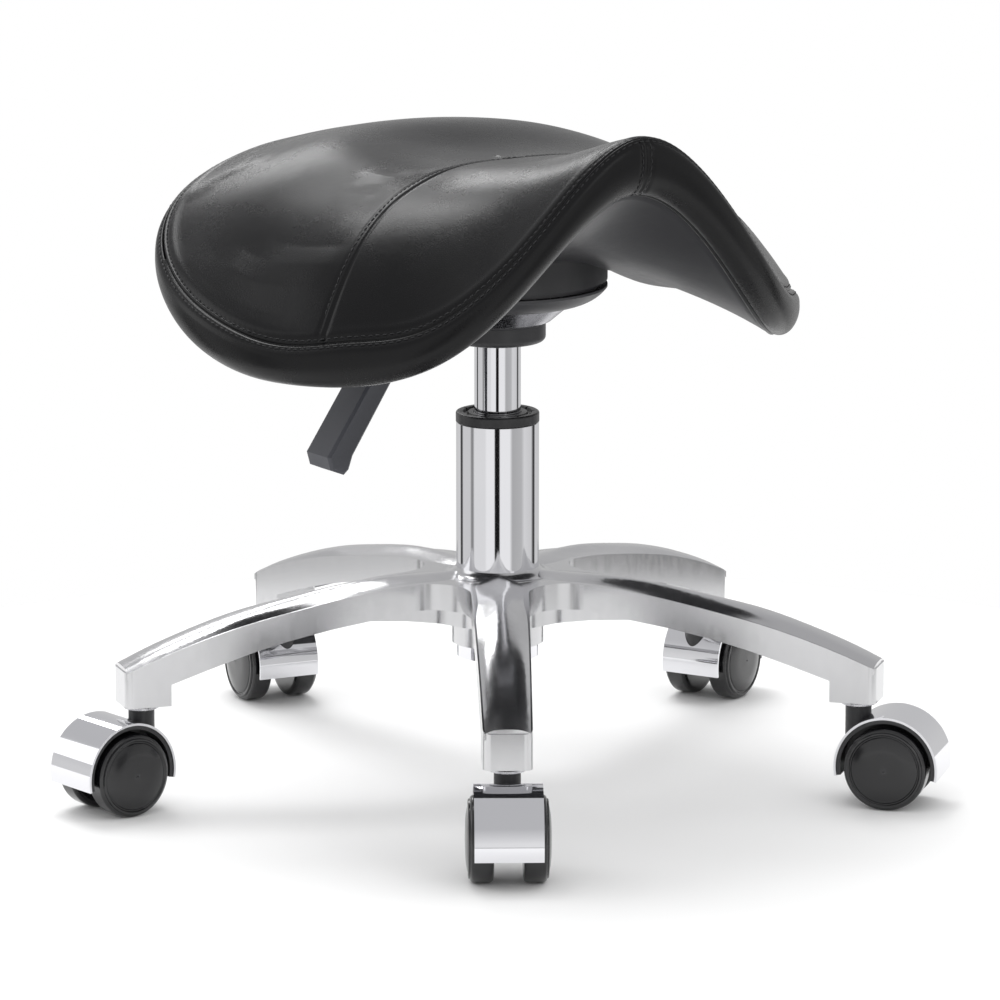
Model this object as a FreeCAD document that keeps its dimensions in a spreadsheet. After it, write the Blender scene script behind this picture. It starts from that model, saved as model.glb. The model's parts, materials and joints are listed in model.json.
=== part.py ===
import FreeCAD, Part
import math
import os
import re

import Sketcher

# Saddle stool: five-leg cast base on twin-wheel castors, gas-lift column and a
# padded saddle seat.  Millimetres, +Z up, origin on the column axis at floor
# level, pommel of the seat toward -Y.

os.makedirs("parts", exist_ok=True)
doc = FreeCAD.newDocument("saddle_stool")
V = FreeCAD.Vector

DIMENSIONS = {
    # base
    "stem_circle": 225.0,
    "leg_azimuth": -32.2,
    "leg_reach": 238.0,
    "leg_half_root": 18.3,
    "leg_half_tip": 14.25,
    "leg_gap_fillet": 26.0,
    "nose_fillet": 5.0,
    "wall_thickness": 4.2,
    "channel_reach": 207.0,
    "hub_radius": 28.0,
    "hub_bottom": 83.5,
    "hub_top": 128.2,
    "socket_bottom": 62.5,
    "socket_top": 82.6,
    "socket_radius": 5.55,
    # column
    "column_radius": 25.0,
    "column_inner": 23.0,
    "column_bottom": 75.0,
    "column_top": 219.0,
    "collar_radius": 25.2,
    "collar_top": 225.0,
    "sleeve_bottom": 150.0,
    "plate_bottom": 79.0,
    "plate_top": 82.0,
    "rod_radius": 5.0,
    "rod_bottom": 75.6,
    "piston_top": 194.0,
    "piston_height": 9.0,
    "running_gap": 0.05,
    # gas cylinder
    "cylinder_radius": 14.0,
    "cylinder_bore": 12.0,
    "cylinder_bottom": 130.0,
    "cylinder_top": 291.0,
    "taper_start": 268.0,
    "plug_bottom": 276.0,
    "pin_radius": 3.5,
    "pin_top": 296.5,
    # mechanism
    "boss_radius": 29.0,
    "boss_bottom": 268.0,
    "boss_top": 281.0,
    "cone_small": 32.5,
    "cone_large": 44.9,
    "cone_top": 291.6,
    "dome_radius": 66.0,
    "dome_top": 303.1,
    "plate_radius": 62.0,
    "mount_bottom": 303.2,
    "mount_top": 306.2,
    "bolt_circle": 45.0,
    "bolt_radius": 3.0,
    "pivot_x": -30.0,
    "pivot_z": 293.0,
    "lever_width": 12.0,
    "paddle_width": 26.0,
    # castors
    "wheel_radius": 25.0,
    "wheel_inner": 8.4,
    "wheel_tread": 21.9,
    "wheel_outer": 24.8,
    "axle_radius": 3.0,
    "axle_half": 21.0,
    "trail": 21.0,
    "hood_radius": 31.5,
    "hood_inner": 30.1,
    "hood_width": 39.6,
    "hood_angle": 202.0,
    "liner_radius": 29.9,
    "liner_inner": 27.7,
    "liner_width": 38.0,
    "web_width": 15.8,
    "axle_boss": 8.0,
    "stem_collar": 7.8,
    "stem_collar_top": 59.0,
    "stem_radius": 5.5,
    # seat
    "edge_gap": 3.0,
    "band_thickness": 2.7,
    "pan_inset": 12.0,
    "pan_thickness": 8.0,
    "cover_thickness": 1.7,
}

sheet = doc.addObject("Spreadsheet::Sheet", "dims")
for row, (key, value) in enumerate(DIMENSIONS.items(), start=1):
    sheet.set("A%d" % row, key)
    sheet.set("B%d" % row, str(value))
    sheet.setAlias("B%d" % row, key)
doc.recompute()

WORD = re.compile(r"[a-z][a-z_]+")
FUNCTIONS = ("sin", "cos", "deg", "mm")


def linked(expression):
    """The expression with every dimension name pointed at the sheet."""
    def swap(match):
        word = match.group(0)
        return word if word in FUNCTIONS else "dims." + word
    return WORD.sub(swap, str(expression))


def size(expression):
    """The value of an expression in millimetres."""
    return float(sheet.evalExpression(linked(expression).replace("dims.", "")))


def bind(thing, prop, expression):
    thing.setExpression(prop, linked(expression))


def plane(body, role):
    return [f for f in body.Origin.OriginFeatures if f.Role == role][0]


def new_body(label):
    body = doc.addObject("PartDesign::Body", label)
    body.Label = label
    return body


def profile(body, name, role, corners):
    """A closed profile.  A corner is (x, y), or (x, y, bow_x, bow_y) when the
    edge that leads to it is an arc bowed through the second point."""
    sketch = body.newObject("Sketcher::SketchObject", name)
    sketch.AttachmentSupport = [(plane(body, role), "")]
    sketch.MapMode = "FlatFace"
    for i, corner in enumerate(corners):
        last = corners[i - 1]
        a = V(size(last[0]), size(last[1]), 0)
        b = V(size(corner[0]), size(corner[1]), 0)
        if len(corner) == 4:
            bow = V(size(corner[2]), size(corner[3]), 0)
            left_hand = (bow - a).cross(b - bow).z > 0
            edge = Part.Arc(a, bow, b) if left_hand else Part.Arc(b, bow, a)
        else:
            edge = Part.LineSegment(a, b)
        sketch.addGeometry(edge, False)
        ends = ((1, a, last), (2, b, corner))
        drawn = sketch.Geometry[i]
        if drawn.StartPoint.distanceToPoint(a) > 1e-6:
            ends = ((2, a, last), (1, b, corner))
        for which, _, named in ends:
            for kind, text in (("DistanceX", named[0]), ("DistanceY", named[1])):
                rule = Sketcher.Constraint(kind, -1, 1, i, which, size(text))
                n = sketch.addConstraint(rule)
                if WORD.search(str(text)):
                    sketch.setExpression("Constraints[%d]" % n, linked(text))
        if len(corner) == 4:
            sketch.addConstraint(Sketcher.Constraint("Radius", i, drawn.Radius))
    return sketch


def turned(label, corners):
    """A part turned about its own Z axis from a radius-height profile."""
    body = new_body(label)
    sketch = profile(body, label + "_profile", "XZ_Plane", corners)
    turn = body.newObject("PartDesign::Revolution", label + "_turn")
    turn.Profile = sketch
    turn.ReferenceAxis = (sketch, ["V_Axis"])
    turn.Angle = 360
    sketch.Visibility = False
    body.Tip = turn
    return body


def padded(label, role, corners, length):
    """A flat profile thickened to both sides of its plane."""
    body = new_body(label)
    sketch = profile(body, label + "_profile", role, corners)
    pad = body.newObject("PartDesign::Pad", label + "_pad")
    pad.Profile = sketch
    pad.Midplane = True
    pad.Length = size(length)
    bind(pad, "Length", length)
    body.Tip = pad
    return body


def rod_between(label, radius, height, frame, angle=360.0):
    item = doc.addObject("Part::Cylinder", label)
    bind(item, "Radius", radius)
    bind(item, "Height", height)
    if angle == 360.0:
        item.Angle = 360.0
    else:
        bind(item, "Angle", angle)
    item.Placement = frame
    return item


def block(label, length, width, height, frame):
    item = doc.addObject("Part::Box", label)
    bind(item, "Length", length)
    bind(item, "Width", width)
    bind(item, "Height", height)
    item.Placement = frame
    return item


def joined(label, pieces):
    item = doc.addObject("Part::MultiFuse", label)
    item.Shapes = pieces
    item.Refine = True
    item.Label = label
    return item


def cut_away(label, base, tool):
    item = doc.addObject("Part::Cut", label)
    item.Base = base
    item.Tool = tool
    item.Refine = True
    item.Label = label
    return item


def at(x, y, z, axis=(0, 0, 1), angle=0.0):
    return FreeCAD.Placement(V(x, y, z), FreeCAD.Rotation(V(*axis), angle))


ALONG_Y = FreeCAD.Rotation(V(1, 0, 0), -90)
ALONG_MINUS_Y = FreeCAD.Rotation(V(1, 0, 0), 90)
made = []


def keep(item):
    made.append(item)
    return item


def solid_part(label, shape):
    item = doc.addObject("Part::Feature", label)
    item.Label = label
    item.Shape = shape
    item.Placement = FreeCAD.Placement()
    return keep(item)


# ---------------------------------------------------------------- star base
# distance from the column axis, height of the ridge, height of the crease
# where the side wall starts, height of the lower edge
LEG_LINES = [
    (20, 128.4, 126.0, 110.2),
    (37, 128.2, 125.9, 110.2),
    (62, 127.9, 125.3, 109.3),
    (87, 126.7, 122.7, 105.4),
    (112, 123.2, 118.7, 101.7),
    (138, 118.5, 113.8, 96.7),
    (162, 113.4, 108.8, 90.8),
    (187, 106.3, 102.2, 83.2),
    (210, 98.3, 94.8, 75.8),
    (226, 91.8, 88.9, 69.0),
    (242, 84.8, 82.2, 62.0),
]
# lower edge of the web set in behind the side walls near the hub
WEB_LINE = [(92, 104.3), (63, 102.2), (43, 99.3), (28.1, 95.5)]
WEB_INSET = 5.0


def leg_half(reach):
    root = size("leg_half_root")
    tip = size("leg_half_tip")
    return root + (tip - root) * reach / size("leg_reach")


def star_plan(inset, reach):
    """Five-pointed plan of the base, sides drawn in by the inset."""
    points = []
    for k in range(5):
        turn = math.radians(size("leg_azimuth") - 90.0 + 72.0 * k)
        along = V(math.cos(turn), math.sin(turn), 0)
        side = V(-math.sin(turn), math.cos(turn), 0)
        root = (leg_half(30.0) - inset) / math.sin(math.radians(36.0))
        tip = leg_half(reach) - inset
        points.append(along * reach - side * tip)
        points.append(along * reach + side * tip)
        half = math.radians(36.0) + turn
        points.append(V(math.cos(half), math.sin(half), 0) * root)
    return Part.Wire(Part.makePolygon(points + [points[0]]).Edges)


def star_prism(inset, reach, gap_fillet, tip_fillet):
    prism = Part.Face(star_plan(inset, reach)).extrude(V(0, 0, 160))
    gaps = []
    tips = []
    for edge in prism.Edges:
        a, b = [v.Point for v in edge.Vertexes]
        if abs(a.z - b.z) < 1.0:
            continue
        far = math.hypot(a.x, a.y) > 100.0
        (tips if far else gaps).append(edge)
    return prism.makeFillet(gap_fillet, gaps).makeFillet(
        tip_fillet, [e for e in prism.makeFillet(gap_fillet, gaps).Edges
                     if abs(e.BoundBox.ZLength - 160) < 0.01
                     and e.BoundBox.XLength + e.BoundBox.YLength < 0.01
                     and math.hypot(e.BoundBox.XMin, e.BoundBox.YMin) > reach - 5.0])


def ring_of(curve_points, floor_points):
    """Solid of revolution between an upper and a lower line."""
    upper = Part.BSplineCurve()
    upper.interpolate([V(r, 0, z) for r, z in curve_points])
    edges = [upper.toShape()]
    chain = [V(r, 0, z) for r, z in floor_points]
    chain = [V(*edges[0].Vertexes[-1].Point)] + chain + [V(*edges[0].Vertexes[0].Point)]
    for a, b in zip(chain, chain[1:]):
        edges.append(Part.makeLine(a, b))
    return Part.Face(Part.Wire(edges)).revolve(V(0, 0, 0), V(0, 0, 1), 360)


def roof():
    """Fluted ridge on top of one leg, lying along +X."""
    wires = []
    for reach, ridge, crease, _ in LEG_LINES:
        half = leg_half(reach) - 0.9
        share = min(max((reach - 87.0) / 75.0, 0.0), 1.0)
        flank = 0.33 + 0.50 * share
        lift = ridge - crease
        line = [V(reach, -half, crease - 0.3)]
        line.append(V(reach, -0.55 * half, crease + lift * flank))
        line.append(V(reach, 0, ridge))
        line.append(V(reach, 0.55 * half, crease + lift * flank))
        line.append(V(reach, half, crease - 0.3))
        top = Part.BSplineCurve()
        top.interpolate(line)
        low_a = V(reach, half, crease - 4.0)
        low_b = V(reach, -half, crease - 4.0)
        wires.append(Part.Wire([
            top.toShape(),
            Part.makeLine(line[-1], low_a),
            Part.makeLine(low_a, low_b),
            Part.makeLine(low_b, line[0]),
        ]))
    return Part.makeLoft(wires, True, False)


def make_star_base():
    reach = size("leg_reach")
    wall = size("wall_thickness")
    under = [(242, 62.5), (211, 62.5), (210.9, 75.5)]
    under += [(r, low) for r, _, _, low in reversed(LEG_LINES[1:8])]
    under += [(10, 110.2)]
    creases = [(r, crease) for r, _, crease, _ in LEG_LINES]
    creases[0] = (10, 126.1)
    lower = ring_of(creases, under)
    body = star_prism(0.0, reach, size("leg_gap_fillet"), size("nose_fillet")).common(lower)
    web = WEB_LINE + [(28, size("hub_bottom")), (10, size("hub_bottom"))]
    core = ring_of([(10, 122.0), (50, 121.5), (92, 116.5)], web)
    body = body.fuse(core.common(star_prism(WEB_INSET, reach, 22.0, 3.0)))
    ridge = roof()
    nose = Part.makeCylinder(reach - 0.6, 160)
    for k in range(5):
        one = ridge.copy()
        one.rotate(V(0, 0, 0), V(0, 0, 1), size("leg_azimuth") - 90.0 + 72.0 * k)
        body = body.fuse(one.common(nose))
    hollow = [(r, crease - wall - 0.8) for r, _, crease, _ in LEG_LINES]
    hollow[0] = (10, 121.0)
    hollow[-1] = (242, 72.0)
    channel = ring_of(hollow, [(242, 40.0), (10, 40.0)])
    outer = channel.common(star_prism(wall, size("channel_reach"), 22.0, 4.0))
    body = body.cut(outer.cut(Part.makeCylinder(WEB_LINE[0][0] - 0.5, 160)))
    inner = channel.common(Part.makeCylinder(WEB_LINE[0][0] + 0.5, 160))
    inner = inner.common(star_prism(WEB_INSET + wall, size("channel_reach"), 18.0, 3.0))
    body = body.cut(inner.cut(Part.makeCylinder(size("hub_radius"), 160)))
    flare = [V(24, 0, 130.2), V(25.6, 0, 130.2)]
    sweep = Part.Arc(flare[1], V(27.6, 0, 127.8), V(34.0, 0, 126.2)).toShape()
    rim = [Part.makeLine(flare[0], flare[1]), sweep]
    rim.append(Part.makeLine(V(34.0, 0, 126.2), V(34.0, 0, 118.0)))
    rim.append(Part.makeLine(V(34.0, 0, 118.0), V(24, 0, 118.0)))
    rim.append(Part.makeLine(V(24, 0, 118.0), flare[0]))
    body = body.fuse(Part.Face(Part.Wire(rim)).revolve(V(0, 0, 0), V(0, 0, 1), 360))
    body = body.cut(Part.makeCylinder(size("column_radius + running_gap"), 200))
    for k in range(5):
        turn = math.radians(size("leg_azimuth") - 90.0 + 72.0 * k)
        spot = V(math.cos(turn), math.sin(turn), 0) * size("stem_circle")
        bore = Part.makeCylinder(size("socket_radius"), size("socket_top") - 50, spot + V(0, 0, 50))
        body = body.cut(bore)
    return solid_part("star_base", body.removeSplitter())


make_star_base()

# ------------------------------------------------------------------- column
keep(turned("column_tube", [
    ("column_inner", "column_bottom"),
    ("column_radius", "column_bottom"),
    ("column_radius", "column_top - 0.6"),
    ("column_radius - 0.6", "column_top"),
    ("column_inner", "column_top"),
]))
keep(turned("column_end_plate", [
    ("rod_radius + 0.6", "plate_bottom"),
    ("column_inner - 0.05", "plate_bottom"),
    ("column_inner - 0.05", "plate_top"),
    ("rod_radius + 0.6", "plate_top"),
]))
bush = turned("guide_bush_blank", [
    ("cylinder_radius + running_gap", "sleeve_bottom"),
    ("column_inner - 0.05", "sleeve_bottom"),
    ("column_inner - 0.05", "column_top + 0.1"),
    ("collar_radius", "column_top + 0.1"),
    ("collar_radius", "collar_top - 1.2"),
    ("collar_radius - 1.2", "collar_top", "collar_radius - 0.35", "collar_top - 0.35"),
    (21.0, "collar_top"),
    (20.4, "collar_top - 1.6"),
    (18.4, "collar_top - 1.6"),
    (17.8, "collar_top - 0.3"),
    ("cylinder_radius + 0.9", "collar_top - 0.3"),
    ("cylinder_radius + running_gap", "collar_top - 1.2"),
])
notches = []
for k in range(12):
    turn = 30.0 * k
    spot = FreeCAD.Rotation(V(0, 0, 1), turn).multVec(V(20.0, -0.8, size("collar_top - 1.4")))
    notches.append(block("bush_notch_%d" % k, 2.4, 1.6, 3.0,
                         at(spot.x, spot.y, spot.z, angle=turn)))
keep(cut_away("guide_bush", bush, joined("bush_notches", notches)))
keep(turned("thrust_race_lower", [
    ("rod_radius + 0.6", "plate_top + 0.1"),
    (12.0, "plate_top + 0.1"),
    (12.0, "plate_top + 1.6"),
    ("rod_radius + 0.6", "plate_top + 1.6"),
]))
cage = turned("thrust_cage", [
    (6.6, "plate_top + 2.5"),
    (11.2, "plate_top + 2.5"),
    (11.2, "plate_top + 3.7"),
    (6.6, "plate_top + 3.7"),
])
balls = []
for k in range(8):
    ball = doc.addObject("Part::Sphere", "thrust_ball_%d" % k)
    ball.Radius = 1.4
    turn = math.radians(45.0 * k)
    spot = V(8.9 * math.cos(turn), 8.9 * math.sin(turn), size("plate_top") + 3.1)
    ball.Placement = FreeCAD.Placement(spot, FreeCAD.Rotation())
    balls.append(ball)
keep(joined("thrust_balls", [cage] + balls))
keep(turned("thrust_race_upper", [
    ("rod_radius + 0.02", "plate_top + 4.6"),
    (12.0, "plate_top + 4.6"),
    (12.0, "plate_top + 6.1"),
    ("rod_radius + 0.02", "plate_top + 6.1"),
]))
keep(turned("bump_stop", [
    ("rod_radius + 0.1", "plate_top + 6.4"),
    (10.4, "plate_top + 6.4"),
    (11.0, "plate_top + 8.0"),
    (11.0, "plate_top + 11.0"),
    (9.6, "plate_top + 12.4", 10.7, "plate_top + 12.0"),
    ("rod_radius + 0.1", "plate_top + 12.4"),
]))
keep(turned("piston_rod", [
    (0.0, "rod_bottom"),
    ("rod_radius - 0.8", "rod_bottom"),
    ("rod_radius", "rod_bottom + 0.8"),
    ("rod_radius", "piston_top"),
    (0.0, "piston_top"),
]))
keep(turned("rod_clip", [
    ("rod_radius + 0.02", "rod_bottom + 1.5"),
    (8.4, "rod_bottom + 1.5"),
    (8.4, "rod_bottom + 2.9"),
    ("rod_radius + 0.02", "rod_bottom + 2.9"),
]))
keep(turned("piston_head", [
    ("rod_radius + 0.02", "piston_top - piston_height"),
    ("cylinder_bore - running_gap", "piston_top - piston_height"),
    ("cylinder_bore - running_gap", "piston_top"),
    ("rod_radius + 0.02", "piston_top"),
]))

# ------------------------------------------------------------- gas cylinder
keep(turned("gas_cylinder", [
    ("cylinder_bore", "cylinder_bottom"),
    ("cylinder_radius - 0.5", "cylinder_bottom"),
    ("cylinder_radius", "cylinder_bottom + 0.5"),
    ("cylinder_radius", "taper_start"),
    ("cylinder_radius - 0.7", "cylinder_top - 1"),
    ("cylinder_radius - 1.7", "cylinder_top"),
    ("pin_radius + running_gap", "cylinder_top"),
    ("pin_radius + running_gap", "plug_bottom"),
    ("cylinder_bore", "plug_bottom"),
]))
keep(turned("cylinder_gland", [
    ("rod_radius + running_gap", "cylinder_bottom + 1"),
    ("cylinder_bore - 0.03", "cylinder_bottom + 1"),
    ("cylinder_bore - 0.03", "cylinder_bottom + 8"),
    ("rod_radius + running_gap", "cylinder_bottom + 8"),
]))
keep(turned("valve_pin", [
    (0.0, "plug_bottom - 14"),
    (5.0, "plug_bottom - 14"),
    (5.0, "plug_bottom - 7"),
    ("pin_radius", "plug_bottom - 6"),
    ("pin_radius", "pin_top - 1"),
    ("pin_radius - 1", "pin_top"),
    (0.0, "pin_top"),
]))

# ---------------------------------------------------------------- mechanism
boss = turned("boss_blank", [
    ("cylinder_radius + 0.6", "boss_bottom"),
    ("boss_radius - 3.5", "boss_bottom"),
    ("boss_radius", "boss_bottom + 3.5", "boss_radius - 1.03", "boss_bottom + 1.03"),
    ("boss_radius", "boss_top - 1.8"),
    ("boss_radius + 1.2", "boss_top - 1.2"),
    ("boss_radius + 1.2", "boss_top"),
    (24.2, "boss_top"),
    (24.2, "cylinder_top + 0.8"),
    ("cylinder_radius - 0.6", "cylinder_top + 0.8"),
    ("cylinder_radius + 0.05", "taper_start + 1"),
])
ears = []
for side in (-1, 1):
    low = block("ear_%s" % ("left" if side < 0 else "right"), 42.0, 3.0, 11.2,
                at(-34.0, 8.0 if side > 0 else -11.0, 291.9))
    nib = block("ear_nib_%s" % ("left" if side < 0 else "right"), 9.0, 3.0, 4.0,
                at(-34.0, 8.0 if side > 0 else -11.0, 289.6))
    ears += [low, nib]
bracket = joined("bracket_blank", [boss] + ears)
eye = rod_between("pivot_eye", 2.02, 40.0, FreeCAD.Placement(
    V(size("pivot_x"), -20, size("pivot_z")), ALONG_Y))
keep(cut_away("mechanism_boss", bracket, eye))

cone = turned("cone_blank", [
    (24.3, "boss_top + 0.1"),
    ("cone_small", "boss_top + 0.1"),
    ("cone_large", "cone_top"),
    ("cone_large", "cone_top + 2.2"),
    ("cone_large - 1.8", "cone_top + 2.2"),
    ("cone_large - 1.8", "cone_top + 0.8"),
    ("cone_small - 1.4", "boss_top + 2.1"),
    (24.3, "boss_top + 2.1"),
])
window = block("cone_window", 22.0, 15.0, 12.0, at(-50.0, -7.5, 283.2))
keep(cut_away("mechanism_cone", cone, window))
keep(turned("mechanism_dome", [
    ("cone_large + 0.3", "cone_top + 0.2"),
    ("dome_radius", "dome_top - 1.4", 58.6, 295.2),
    ("dome_radius", "dome_top"),
    ("dome_radius - 2.2", "dome_top"),
    ("cone_large + 0.3", "cone_top + 2.4", 57.4, 297.4),
]))

bolt_spots = []
for k in range(4):
    turn = math.radians(45.0 + 90.0 * k)
    bolt_spots.append((size("bolt_circle") * math.cos(turn), size("bolt_circle") * math.sin(turn)))
plate = turned("plate_blank", [
    (0.0, "mount_bottom"),
    ("plate_radius", "mount_bottom"),
    ("plate_radius", "mount_top"),
    (0.0, "mount_top"),
])
drills = [rod_between("plate_hole_%d" % k, "bolt_radius + 0.3", 12.0, at(x, y, 298))
          for k, (x, y) in enumerate(bolt_spots)]
keep(cut_away("mount_plate", plate, joined("plate_holes", drills)))

bolts = []
inserts = []
for k, (x, y) in enumerate(bolt_spots):
    bolts.append(rod_between("bolt_head_%d" % k, 5.0, 3.1, at(x, y, 300.0)))
    bolts.append(rod_between("bolt_shank_%d" % k, "bolt_radius", 11.0, at(x, y, 302.0)))
    inserts.append(rod_between("insert_%d" % k, 4.5, 6.6, at(x, y, 306.8)))
keep(joined("mount_bolts", bolts))
taps = [rod_between("insert_bore_%d" % k, "bolt_radius + 0.05", 12.0, at(x, y, 304))
        for k, (x, y) in enumerate(bolt_spots)]
keep(cut_away("thread_inserts", joined("insert_blanks", inserts), joined("insert_bores", taps)))

# --------------------------------------------------------------- lift lever
arm = padded("lever_arm_blank", "XZ_Plane", [
    (-74.0, 283.6),
    (-31.0, 283.6),
    (-24.0, 297.4),
    (-1.5, 297.4),
    (-1.0, "pin_top + 0.35"),
    (1.0, "pin_top + 0.35"),
    (1.5, 297.4),
    (3.0, 297.4),
    (3.0, 300.8),
    (-31.0, 300.8),
    (-41.0, 287.6),
    (-74.0, 287.6),
], "lever_width")
arm_eye = rod_between("arm_eye", 2.06, 40.0, FreeCAD.Placement(
    V(size("pivot_x"), -20, size("pivot_z")), ALONG_Y))
keep(cut_away("lever_arm", arm, arm_eye))
keep(rod_between("lever_pivot", 2.0, 22.0, FreeCAD.Placement(
    V(size("pivot_x"), -11, size("pivot_z")), ALONG_Y)))

handle = padded("paddle_blank", "XZ_Plane", [
    (-61.0, 281.5),
    (-61.0, 290.5),
    (-74.5, 290.5),
    (-128.2, 212.5),
    (-126.0, 204.6),
    (-116.8, 200.8),
    (-113.4, 203.8),
    (-110.6, 211.8),
    (-66.5, 279.0),
], "paddle_width")
slot = block("paddle_slot", 14.0, 12.4, 4.4, at(-74.3, -6.2, 283.4))
doc.recompute()
rounding = doc.addObject("Part::Chamfer", "paddle_edges")
rounding.Base = handle
rounding.Edges = [(n + 1, 1.6, 1.6) for n, edge in enumerate(handle.Shape.Edges)
                  if edge.BoundBox.YLength < 0.01 and edge.BoundBox.ZMin < 278.0]
keep(cut_away("lever_paddle", rounding, slot))

# ------------------------------------------------------------------ castors
TRAILS = [-32.3, 40.2, -84.3, 170.8, 116.6]
STATIONS = [0, 1, 4, 3, 2]


def castor(number, station, trail_azimuth):
    tag = "castor_%d_" % number
    azimuth = math.radians(size("leg_azimuth") + 72.0 * station)
    foot = V(math.sin(azimuth), -math.cos(azimuth), 0) * size("stem_circle")
    frame = FreeCAD.Placement(foot, FreeCAD.Rotation(V(0, 0, 1), trail_azimuth - 90.0))
    centre = V(size("trail"), 0, size("wheel_radius"))

    stem = turned(tag + "stem", [
        (0.0, 42.0),
        ("stem_radius", 42.0),
        ("stem_radius", "stem_collar_top + 0.1"),
        (8.6, "stem_collar_top + 0.1"),
        (10.4, "stem_collar_top + 0.9"),
        (10.4, "stem_collar_top + 2.2"),
        (8.6, "stem_collar_top + 3"),
        ("stem_radius", "stem_collar_top + 3"),
        ("stem_radius", 80.8),
        ("stem_radius - 1", 81.8),
        (0.0, 81.8),
    ])
    stem.Placement = frame
    keep(stem)

    def spun(label, radius, width, start=0.0, angle=360.0):
        spot = centre + V(0, -size(width) / 2.0, 0)
        place = FreeCAD.Placement(spot, ALONG_Y)
        place = place.multiply(at(0, 0, 0, angle=start))
        return rod_between(tag + label, radius, width, frame.multiply(place), angle)

    lean = -180.0 + (180.0 - size("hood_angle")) / 2.0
    shell = spun("hood_outer", "hood_radius", "hood_width", lean, "hood_angle")
    void = spun("hood_void", "hood_inner", "hood_width + 2")
    throat = rod_between(tag + "throat", "stem_collar + 0.3", 60.0, frame.multiply(at(0, 0, 26)))
    keep(cut_away(tag + "hood", shell, joined(tag + "hood_cuts", [void, throat])))

    liner = cut_away(tag + "liner",
                     spun("liner_outer", "liner_radius", "liner_width", lean, "hood_angle"),
                     spun("liner_void", "liner_inner", "liner_width + 2"))
    web = spun("web", "liner_inner + 0.6", "web_width", -180.0, "hood_angle - 22")
    boss_part = spun("axle_boss", "axle_boss", "web_width")
    collar = rod_between(tag + "collar", "stem_collar", "stem_collar_top - 36",
                         frame.multiply(at(0, 0, 36)))
    drill = spun("axle_hole", "axle_radius + 0.01", "web_width + 4")
    socket = rod_between(tag + "stem_hole", "stem_radius + 0.01", 40.0, frame.multiply(at(0, 0, 42)))
    lump = joined(tag + "housing_blank", [liner, web, boss_part, collar])
    keep(cut_away(tag + "housing", lump, joined(tag + "housing_holes", [drill, socket])))
    keep(spun("axle", "axle_radius", "axle_half * 2"))

    for side, turn in (("wheel_left", ALONG_Y), ("wheel_right", ALONG_MINUS_Y)):
        wheel = turned(tag + side, [
            ("axle_radius + running_gap", "wheel_inner"),
            (21.6, "wheel_inner"),
            (22.6, "wheel_inner + 0.2"),
            ("wheel_radius", "wheel_inner + 2.6", "wheel_radius - 0.703", "wheel_inner + 0.903"),
            ("wheel_radius", "wheel_tread - 2"),
            ("wheel_radius - 2", "wheel_tread", "wheel_radius - 0.586", "wheel_tread - 0.586"),
            ("wheel_radius - 2.2", "wheel_tread + 0.8"),
            ("wheel_radius - 2.6", "wheel_tread + 1.1"),
            ("wheel_radius - 3.4", "wheel_tread + 1.1"),
            ("wheel_radius - 4", "wheel_tread + 0.5"),
            ("wheel_radius - 4.6", "wheel_tread + 0.5"),
            ("wheel_radius - 5.2", "wheel_tread + 1.1"),
            (10.0, "wheel_outer - 0.3", 15.0, "wheel_outer - 0.75"),
            (0.0, "wheel_outer"),
            (0.0, "axle_half + 0.5"),
            ("axle_radius + running_gap", "axle_half + 0.5"),
        ])
        wheel.Placement = frame.multiply(FreeCAD.Placement(centre, turn))
        keep(wheel)


for number, (station, trail_azimuth) in enumerate(zip(STATIONS, TRAILS), start=1):
    castor(number, station, trail_azimuth)

# --------------------------------------------------------------------- seat
# control heights of the padded top and of the underside: one row per station
# from the pommel back, one column per station out from the middle
NET_SPAN_X = 200.0
NET_SPAN_Y = 160.0
NET_STEP = 40.0
TOP_NET = [
    [420, 393, 345, 298, 237, 187, 161],
    [418, 397, 347, 301, 243, 195, 171],
    [408, 394, 354, 309, 259, 215, 191],
    [392, 387, 367, 342, 307, 254, 230],
    [383, 384, 372, 365, 331, 288, 272],
    [379, 380, 380, 366, 335, 309, 295],
    [380, 385, 386, 375, 347, 321, 307],
    [394, 392, 389, 373, 348, 327, 317],
    [390, 389, 381, 370, 349, 332, 322],
    [381, 379, 375, 364, 347, 333, 325],
    [381, 378, 372, 363, 347, 333, 326],
]
UNDER_NET = [
    [394, 368, 322, 279, 240, 212, 197],
    [388, 364, 318, 277, 243, 217, 203],
    [367, 348, 309, 275, 247, 226, 214],
    [333, 321, 301, 285, 260, 238, 230],
    [316, 314, 306, 298, 280, 258, 251],
    [312, 312, 307, 295, 280, 272, 267],
    [314, 318, 313, 298, 287, 284, 280],
    [324, 329, 327, 316, 306, 300, 296],
    [343, 344, 339, 330, 320, 314, 309],
    [357, 355, 350, 341, 333, 326, 321],
    [360, 355, 350, 343, 335, 328, 324],
]
# plan of the seat edge, from the middle of the pommel round to the back
EDGE_PLAN = [
    (0, -151.9), (50.1, -149.3), (101.3, -134.1), (146.7, -94), (185.3, -33.2),
    (195.5, 42.6), (170.3, 103.7), (122.1, 135.2), (62.6, 142.3), (0, 141.9),
]


def stations(span):
    """Places of the control heights along one direction of the net."""
    knots = [-span] * 3 + [-span + NET_STEP * i for i in range(int(2 * span / NET_STEP) + 1)]
    knots += [span] * 3
    return [sum(knots[i + 1:i + 4]) / 3.0 for i in range(len(knots) - 4)]


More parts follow.
